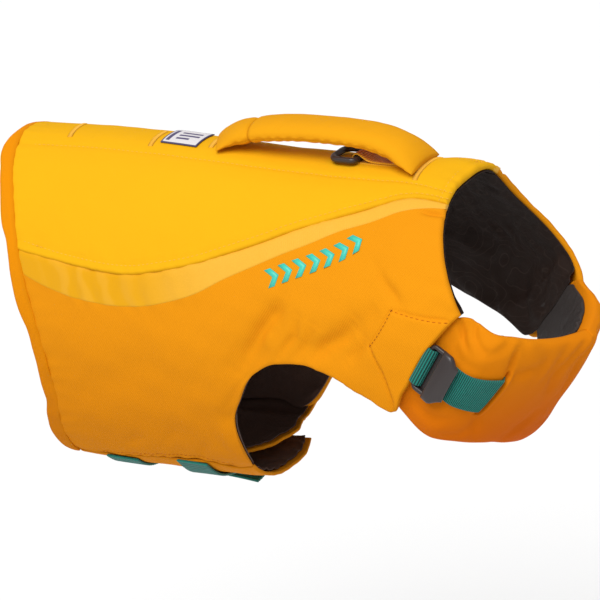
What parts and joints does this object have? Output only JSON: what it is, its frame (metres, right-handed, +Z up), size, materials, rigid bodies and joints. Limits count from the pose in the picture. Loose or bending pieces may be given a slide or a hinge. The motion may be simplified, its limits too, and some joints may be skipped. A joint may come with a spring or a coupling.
{
  "type": "dog life jacket",
  "caption": "Dog life jacket in worn form: foam-backed barrel with open leg holes and neck, stuffed chest pad, padded lifting handle, leash ring and belly straps.",
  "frame": {"origin": "inner face of the back on the wearer's spine, under the rear end of the handle", "axes": "+X towards the wearer's head, +Y to the wearer's left, +Z up, with the back level"},
  "size_m": [0.3813, 0.1763, 0.2573],
  "materials": {
    "yellow_cloth": "smooth plain-weave polyester",
    "orange_cloth": "fine twill polyester",
    "stripe_cloth": "satin strip",
    "binding": "rolled plain cloth",
    "lining": "smooth dark lining",
    "pad_lining": "smooth taupe lining",
    "webbing": "ribbed webbing",
    "plastic": "matt",
    "ring": "dark, satin",
    "label": "woven label, bare"
  },
  "bodies": {
    "jacket": {"back_panel": "yellow_cloth", "lining_back": "lining", "hem_binding": "binding", "belly_flap_right": "orange_cloth", "lining_flap_right": "lining", "belly_flap_left": "orange_cloth", "lining_flap_left": "lining", "chest_pad": "orange_cloth", "chest_pad_lining": "pad_lining", "chest_loop": "webbing", "chest_strap": "webbing", "chest_slider": "plastic", "handle_tab": "orange_cloth", "handle_grip": "orange_cloth", "leash_loop": "binding", "back_label": "label", "belly_strap_tail": "webbing", "side_panel_right": "orange_cloth", "lining_right": "lining", "stripe_right": "stripe_cloth", "side_panel_left": "orange_cloth", "lining_left": "lining", "stripe_left": "stripe_cloth", "belly_strap_rear": "webbing", "buckle_tab_rear": "webbing", "buckle_rear": "plastic", "belly_strap_front": "webbing", "buckle_tab_front": "webbing", "buckle_front": "plastic"},
    "leash_ring": {"leash_ring": "ring"}
  },
  "joints": [
    {"name": "leash_ring_hinge", "type": "hinge", "parent": "jacket", "child": "leash_ring", "pos_m": [0.088, 0, 0.0074], "axis": [0, 1, 0], "range_deg": [0, 12]}
  ]
}
